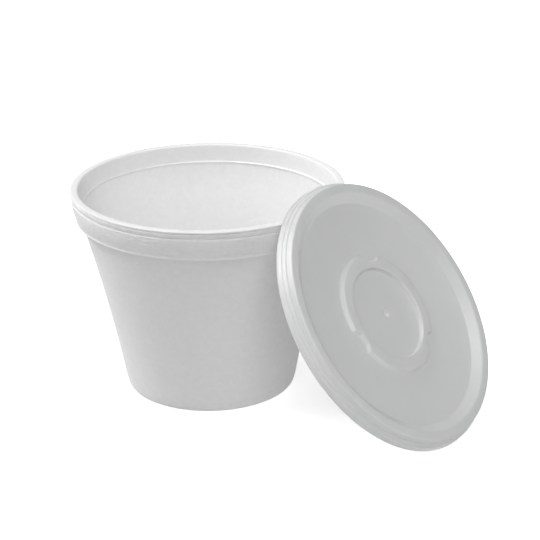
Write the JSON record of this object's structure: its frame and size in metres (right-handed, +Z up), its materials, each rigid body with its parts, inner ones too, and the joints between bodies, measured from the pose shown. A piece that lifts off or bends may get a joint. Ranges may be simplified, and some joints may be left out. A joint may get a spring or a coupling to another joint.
{
  "type": "takeaway soup container",
  "caption": "Squat round foam cup with a flared rim and a tapered body, with its thin round plastic lid leaning against the rim.",
  "frame": {"origin": "on the ground, under the middle of the box round the cup and its leaning lid", "axes": "+Z up; +X from the cup towards the side where the lid leans; +Y across"},
  "size_m": [0.1832, 0.1196, 0.0979],
  "materials": {
    "foam": "matt white bead foam with a faint pebbled skin",
    "lid_plastic": "thin translucent pale plastic, half gloss"
  },
  "bodies": {
    "root": {"foam_cup": "foam", "lid": "lid_plastic"}
  },
  "joints": []
}
